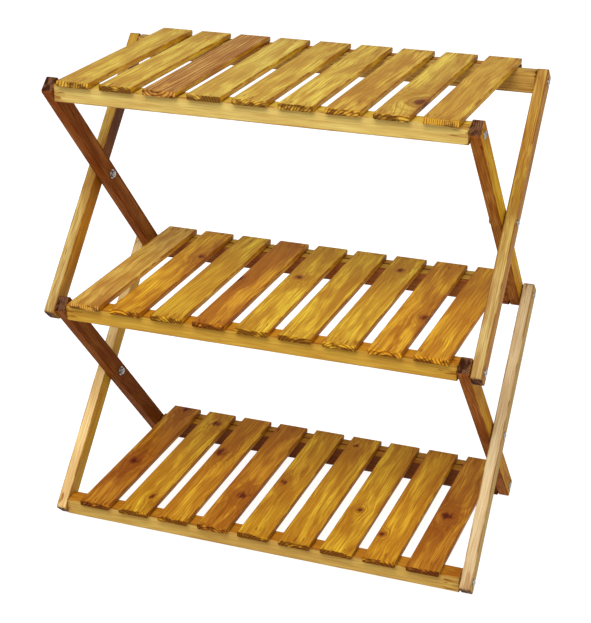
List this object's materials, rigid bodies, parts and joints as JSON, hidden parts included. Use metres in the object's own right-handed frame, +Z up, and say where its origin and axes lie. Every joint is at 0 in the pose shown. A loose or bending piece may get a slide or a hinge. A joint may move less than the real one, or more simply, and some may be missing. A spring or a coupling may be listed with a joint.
{
  "type": "plant stand",
  "caption": "Folding wooden plant stand with slatted shelves stacked between scissor legs, for holding flower pots.",
  "frame": {"origin": "on the floor, under the middle of the shelves", "axes": "+X along the shelves to the right, +Y from front to back, +Z up"},
  "size_m": [0.726, 0.3798, 0.7636],
  "materials": {
    "slat_wood": "stained and varnished",
    "rail_wood": "stained and varnished",
    "inner_leg_wood": "stained and varnished",
    "outer_leg_wood": "stained and varnished",
    "zinc_steel": "bright zinc plated"
  },
  "bodies": {
    "lower_outer_frame": {"lower_outer_leg_left": "outer_leg_wood", "lower_outer_leg_right": "outer_leg_wood", "lower_pivot_bolts": "zinc_steel", "lower_pivot_nuts": "zinc_steel", "lower_washers": "zinc_steel"},
    "lower_inner_frame": {"lower_inner_leg_left": "inner_leg_wood", "lower_inner_leg_right": "inner_leg_wood", "bottom_cross_bar": "rail_wood", "bottom_back_screws": "zinc_steel"},
    "upper_outer_frame": {"upper_outer_leg_left": "outer_leg_wood", "upper_outer_leg_right": "outer_leg_wood", "top_cross_bar": "rail_wood", "top_back_screws": "zinc_steel", "upper_pivot_bolts": "zinc_steel", "upper_pivot_nuts": "zinc_steel", "upper_washers": "zinc_steel"},
    "upper_inner_frame": {"upper_inner_leg_left": "inner_leg_wood", "upper_inner_leg_right": "inner_leg_wood", "middle_cross_bar": "rail_wood", "middle_back_screws": "zinc_steel"},
    "top_shelf": {"top_front_rail": "rail_wood", "top_back_batten": "rail_wood", "top_slat_1": "slat_wood", "top_slat_2": "slat_wood", "top_slat_3": "slat_wood", "top_slat_4": "slat_wood", "top_slat_5": "slat_wood", "top_slat_6": "slat_wood", "top_slat_7": "slat_wood", "top_slat_8": "slat_wood", "top_slat_9": "slat_wood", "top_slat_nails": "zinc_steel", "top_front_screws": "zinc_steel"},
    "middle_shelf": {"middle_front_rail": "rail_wood", "middle_back_batten": "rail_wood", "middle_slat_1": "slat_wood", "middle_slat_2": "slat_wood", "middle_slat_3": "slat_wood", "middle_slat_4": "slat_wood", "middle_slat_5": "slat_wood", "middle_slat_6": "slat_wood", "middle_slat_7": "slat_wood", "middle_slat_8": "slat_wood", "middle_slat_9": "slat_wood", "middle_slat_nails": "zinc_steel", "middle_front_screws": "zinc_steel"},
    "bottom_shelf": {"bottom_front_rail": "rail_wood", "bottom_back_batten": "rail_wood", "bottom_slat_1": "slat_wood", "bottom_slat_2": "slat_wood", "bottom_slat_3": "slat_wood", "bottom_slat_4": "slat_wood", "bottom_slat_5": "slat_wood", "bottom_slat_6": "slat_wood", "bottom_slat_7": "slat_wood", "bottom_slat_8": "slat_wood", "bottom_slat_9": "slat_wood", "bottom_slat_nails": "zinc_steel", "bottom_front_screws": "zinc_steel"}
  },
  "joints": [
    {"name": "fold", "type": "hinge", "parent": "lower_outer_frame", "child": "lower_inner_frame", "pos_m": [0, -0.00224, 0.19924], "axis": [-1, 0, 0], "range_deg": [0, 75]},
    {"name": "upper_outer_fold", "type": "hinge", "parent": "lower_inner_frame", "child": "upper_outer_frame", "pos_m": [0, -0.16374, 0.37824], "axis": [1, 0, 0], "range_deg": [0, 75]},
    {"name": "upper_inner_fold", "type": "hinge", "parent": "lower_outer_frame", "child": "upper_inner_frame", "pos_m": [0, 0.15926, 0.37824], "axis": [-1, 0, 0], "range_deg": [0, 75]},
    {"name": "top_shelf_lift", "type": "hinge", "parent": "upper_inner_frame", "child": "top_shelf", "pos_m": [0, -0.16374, 0.73624], "axis": [1, 0, 0], "range_deg": [0, 127.5]},
    {"name": "middle_shelf_lift", "type": "hinge", "parent": "lower_inner_frame", "child": "middle_shelf", "pos_m": [0, -0.16374, 0.37824], "axis": [1, 0, 0], "range_deg": [0, 127.5]},
    {"name": "bottom_shelf_lift", "type": "hinge", "parent": "lower_outer_frame", "child": "bottom_shelf", "pos_m": [0, -0.16374, 0.02024], "axis": [1, 0, 0], "range_deg": [0, 52.5]}
  ],
  "couplings": [
    {"joint": "upper_outer_fold", "follows": "fold", "ratio": 1},
    {"joint": "upper_inner_fold", "follows": "fold", "ratio": 1},
    {"joint": "top_shelf_lift", "follows": "fold", "ratio": 1.7},
    {"joint": "middle_shelf_lift", "follows": "fold", "ratio": 1.7},
    {"joint": "bottom_shelf_lift", "follows": "fold", "ratio": 0.7}
  ]
}
